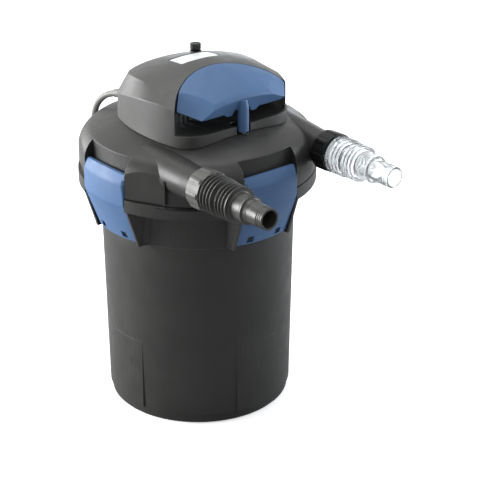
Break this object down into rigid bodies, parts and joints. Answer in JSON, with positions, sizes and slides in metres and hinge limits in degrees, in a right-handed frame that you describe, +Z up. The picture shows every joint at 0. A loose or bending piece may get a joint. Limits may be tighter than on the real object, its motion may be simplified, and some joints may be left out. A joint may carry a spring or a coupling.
{
  "type": "canister filter",
  "caption": "Round pond filter canister with domed ultraviolet head, side clips, stepped hosetails and a pull-up cleaning handle.",
  "frame": {"origin": "centre of the bucket's base, on the floor", "axes": "+Z up; -Y is the front, where both hosetails point; +X is the outlet side"},
  "size_m": [0.3652, 0.4645, 0.4263],
  "materials": {
    "grey_plastic": "moulded charcoal plastic, satin",
    "blue_plastic": "moulded denim blue plastic, satin",
    "black_plastic": "moulded black plastic",
    "black_rubber": "soft black seal rubber",
    "steel": "stainless steel",
    "foam": "open-cell blue filter foam",
    "clear_plastic": "clear moulded plastic",
    "quartz": "clear quartz glass",
    "lamp_glass": "ultraviolet lamp tube and base",
    "white_plastic": "white plate and lamp socket",
    "lead": "dark grey mains lead sheath"
  },
  "bodies": {
    "housing": {"bucket": "grey_plastic", "rim_seal": "black_rubber", "clip_pins": "steel", "head_shell": "grey_plastic", "divider": "grey_plastic", "core_tube": "black_plastic", "retainer_plate": "black_plastic", "foam_ring_1": "foam", "foam_ring_2": "foam", "foam_ring_3": "foam", "foam_ring_4": "foam", "rod_gland": "black_plastic", "rod_seal": "black_rubber", "uv_base": "black_plastic", "uv_seal": "black_rubber", "sleeve_seal": "black_rubber", "sleeve_nut": "black_plastic", "quartz_sleeve": "quartz", "uv_lamp": "lamp_glass", "lamp_socket": "white_plastic", "ballast": "black_plastic", "grip_liner": "black_plastic", "hood": "grey_plastic", "hood_screws": "steel", "label_plate": "white_plastic", "inlet_hosetail": "black_plastic", "inlet_seal": "black_rubber", "outlet_hosetail": "clear_plastic", "outlet_seal": "black_rubber", "cable_gland": "black_plastic", "strain_relief": "black_rubber", "cord_drop": "lead", "cord_coil": "lead", "plug_body": "black_plastic", "plug_pins": "steel"},
    "front_clip": {"clip_front": "blue_plastic"},
    "right_clip": {"clip_right": "blue_plastic"},
    "rear_clip": {"clip_rear": "blue_plastic"},
    "left_clip": {"clip_left": "blue_plastic"},
    "puller": {"handle": "blue_plastic", "pull_rod": "steel", "press_plate": "black_plastic"},
    "inlet_union": {"inlet_nut": "grey_plastic"},
    "outlet_union": {"outlet_nut": "black_plastic"},
    "knob": {"vent_knob": "black_plastic"}
  },
  "joints": [
    {"name": "front_clip_hinge", "type": "hinge", "parent": "housing", "child": "front_clip", "pos_m": [0, -0.114, 0.2352], "axis": [1, 0, 0], "range_deg": [0, 70]},
    {"name": "right_clip_hinge", "type": "hinge", "parent": "housing", "child": "right_clip", "pos_m": [0.114, 0, 0.2352], "axis": [0, 1, 0], "range_deg": [0, 70]},
    {"name": "rear_clip_hinge", "type": "hinge", "parent": "housing", "child": "rear_clip", "pos_m": [0, 0.114, 0.2352], "axis": [-1, 0, 0], "range_deg": [0, 70]},
    {"name": "left_clip_hinge", "type": "hinge", "parent": "housing", "child": "left_clip", "pos_m": [-0.114, 0, 0.2352], "axis": [0, -1, 0], "range_deg": [0, 70]},
    {"name": "handle_lift", "type": "slide", "parent": "housing", "child": "puller", "axis": [0, 0, 1], "range_m": [0, 0.09], "deforming": ["foam_ring_1", "foam_ring_2", "foam_ring_3", "foam_ring_4"]},
    {"name": "inlet_nut_turn", "type": "hinge", "parent": "housing", "child": "inlet_union", "pos_m": [-0.0906, -0.134, 0.3235], "axis": [0, 1, 0], "continuous": true},
    {"name": "outlet_nut_turn", "type": "hinge", "parent": "housing", "child": "outlet_union", "pos_m": [0.0906, -0.134, 0.3235], "axis": [0, 1, 0], "continuous": true},
    {"name": "knob_turn", "type": "hinge", "parent": "housing", "child": "knob", "pos_m": [0.022, 0.0296, 0.42], "axis": [0, 0, 1], "range_deg": [0, 90]}
  ]
}
